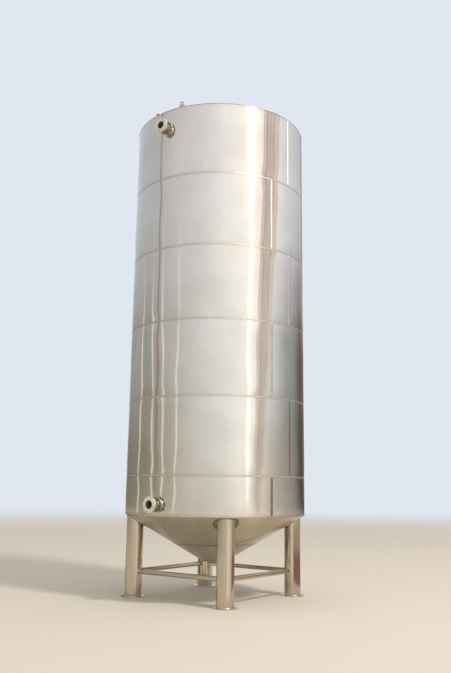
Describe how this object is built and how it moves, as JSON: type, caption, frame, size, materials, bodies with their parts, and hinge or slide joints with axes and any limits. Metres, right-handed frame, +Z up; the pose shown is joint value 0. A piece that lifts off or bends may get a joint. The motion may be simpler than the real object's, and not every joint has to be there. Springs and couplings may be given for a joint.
{
  "type": "vertical storage tank",
  "caption": "Upright round stainless steel storage tank with a cone bottom, flanged side nozzles, a shallow cone roof, and pipe legs joined by level braces.",
  "frame": {"origin": "on the tank's vertical axis, at floor level under the base plates", "axes": "+Z up along the tank's axis; the legs stand on the X and Y axes, and the front leg is on -Y"},
  "size_m": [3.044, 3.044, 8.5964],
  "materials": {
    "shell_steel": "satin stainless plate, vertical soft streaks, welds brushed back",
    "head_steel": "satin stainless plate with radial sheen, darker for the ground it mirrors",
    "leg_steel": "polished stainless pipe, lengthwise grain",
    "fitting_steel": "turned and pickled stainless"
  },
  "bodies": {
    "root": {"shell_course_1_plate_a": "shell_steel", "shell_course_1_plate_b": "shell_steel", "shell_course_2_plate_a": "shell_steel", "shell_course_2_plate_b": "shell_steel", "shell_course_3_plate_a": "shell_steel", "shell_course_3_plate_b": "shell_steel", "shell_course_4_plate_a": "shell_steel", "shell_course_4_plate_b": "shell_steel", "shell_course_5_plate_a": "shell_steel", "shell_course_5_plate_b": "shell_steel", "shell_course_6_plate_a": "shell_steel", "shell_course_6_plate_b": "shell_steel", "roof": "shell_steel", "bottom_cone_upper": "head_steel", "bottom_cone_lower": "head_steel", "bottom_tip_plate": "head_steel", "leg_pad_front": "head_steel", "leg_pad_right": "head_steel", "leg_pad_back": "head_steel", "leg_pad_left": "head_steel", "leg_front": "leg_steel", "leg_right": "leg_steel", "leg_back": "leg_steel", "leg_left": "leg_steel", "base_plate_front": "leg_steel", "base_plate_right": "leg_steel", "base_plate_back": "leg_steel", "base_plate_left": "leg_steel", "brace_front_right": "leg_steel", "brace_right_back": "leg_steel", "brace_back_left": "leg_steel", "brace_left_front": "leg_steel", "outlet_neck": "fitting_steel", "outlet_flange": "fitting_steel", "upper_nozzle_neck": "fitting_steel", "upper_nozzle_flange": "fitting_steel", "upper_nozzle_pad": "fitting_steel", "lower_nozzle_neck": "fitting_steel", "lower_nozzle_flange": "fitting_steel", "lower_nozzle_pad": "fitting_steel", "manway_neck": "fitting_steel", "manway_cover": "fitting_steel", "roof_vent": "fitting_steel", "roof_edge_nozzle": "fitting_steel", "lifting_lug_front": "fitting_steel", "lifting_lug_back": "fitting_steel"}
  },
  "joints": []
}
